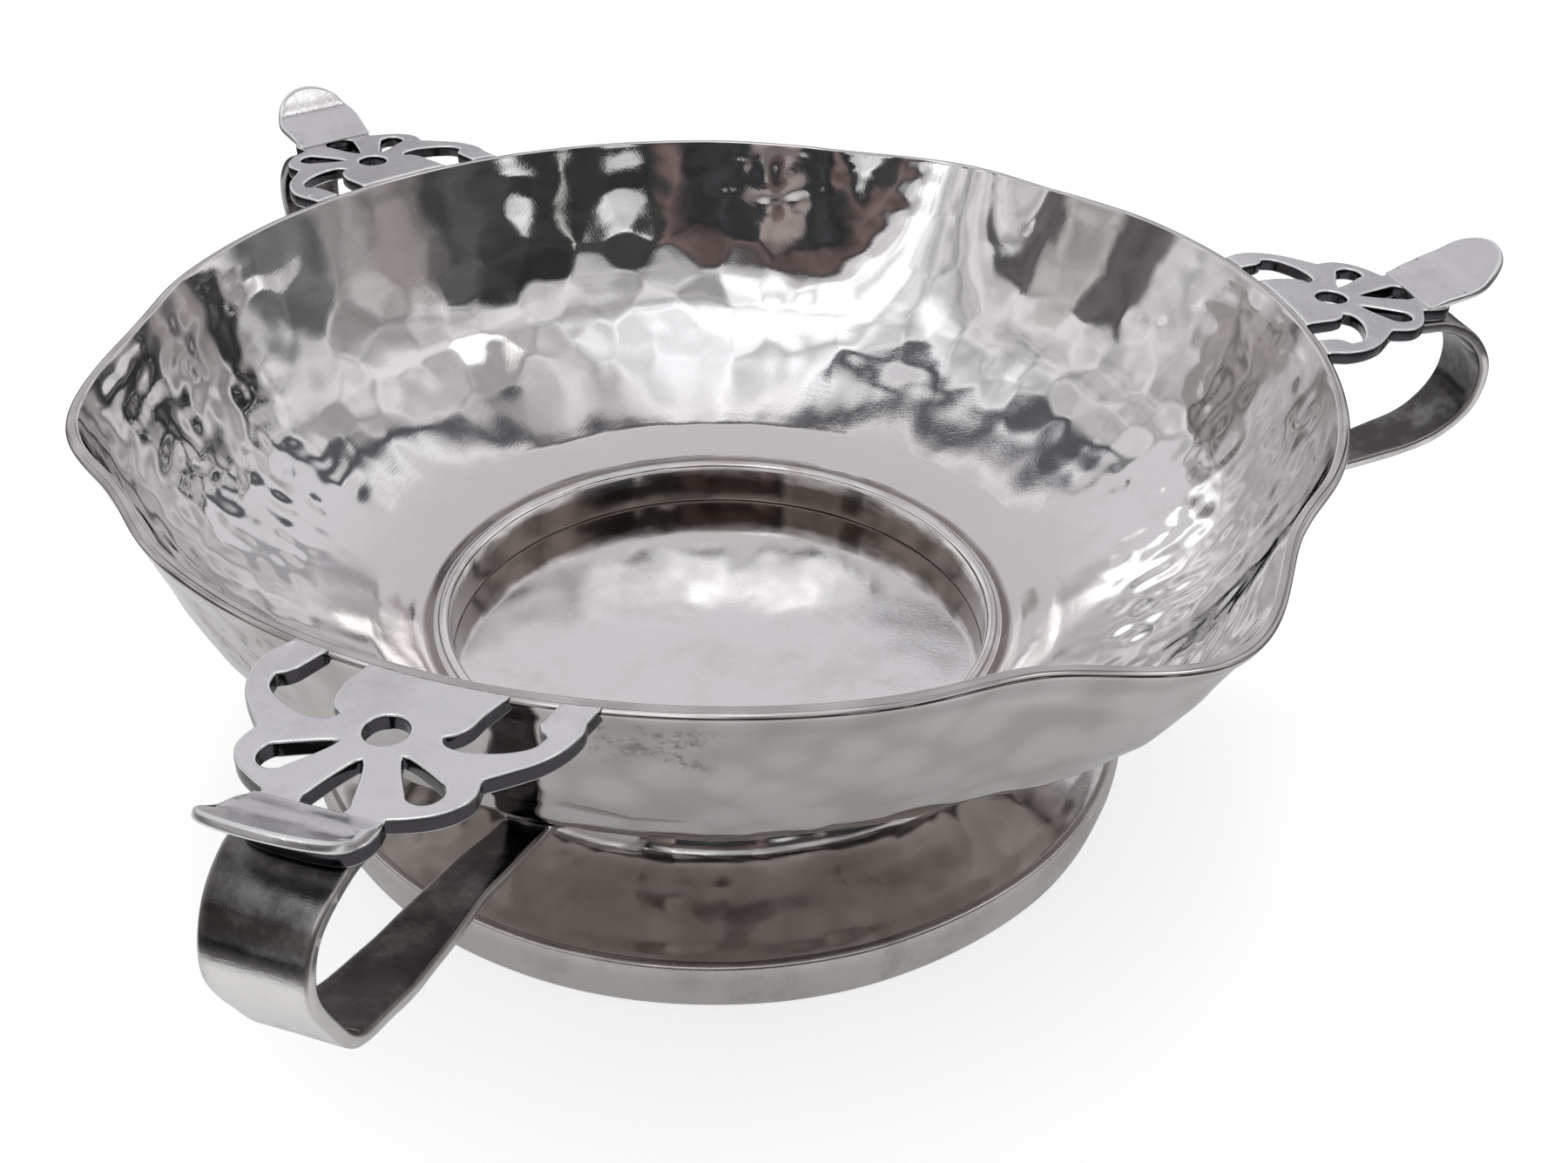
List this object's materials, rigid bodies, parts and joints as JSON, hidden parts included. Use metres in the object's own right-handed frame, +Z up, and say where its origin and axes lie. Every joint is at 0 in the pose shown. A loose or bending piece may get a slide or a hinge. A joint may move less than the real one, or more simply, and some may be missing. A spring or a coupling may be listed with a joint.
{
  "type": "footed bowl",
  "caption": "Shallow hand-raised footed bowl with a sunk well, pouring swells in its lip and pierced flat side handles, each with a thumb-piece over a looped strap.",
  "frame": {"origin": "on the bowl's axis, on the flat top face of the disc at the bottom of the well", "axes": "+Z up along the axis of the bowl and foot, -Y towards the front handle; the other handles lie at about 30 and 150 degrees from +X"},
  "size_m": [0.1615, 0.1593, 0.0569],
  "materials": {
    "planished_bowl": "hand-planished silver, bright, with soft hammer facets inside and out",
    "polished_well": "polished silver, lightly rippled, with a bright rounded lip",
    "planished_foot": "planished silver skirt with a plain, slightly duller band",
    "filed_handles": "filed and burnished silver sheet with bright arrises and dark piercings",
    "worn_straps": "silver strap with smudges of tarnish and bright worn edges"
  },
  "bodies": {
    "root": {"bowl": "planished_bowl", "well_collar": "polished_well", "well_disc": "polished_well", "foot_skirt": "planished_foot", "foot_band": "planished_foot", "plate_front": "filed_handles", "plate_left": "filed_handles", "plate_right": "filed_handles", "thumb_front": "filed_handles", "thumb_left": "filed_handles", "thumb_right": "filed_handles", "strap_front": "worn_straps", "strap_left": "worn_straps", "strap_right": "worn_straps"}
  },
  "joints": []
}
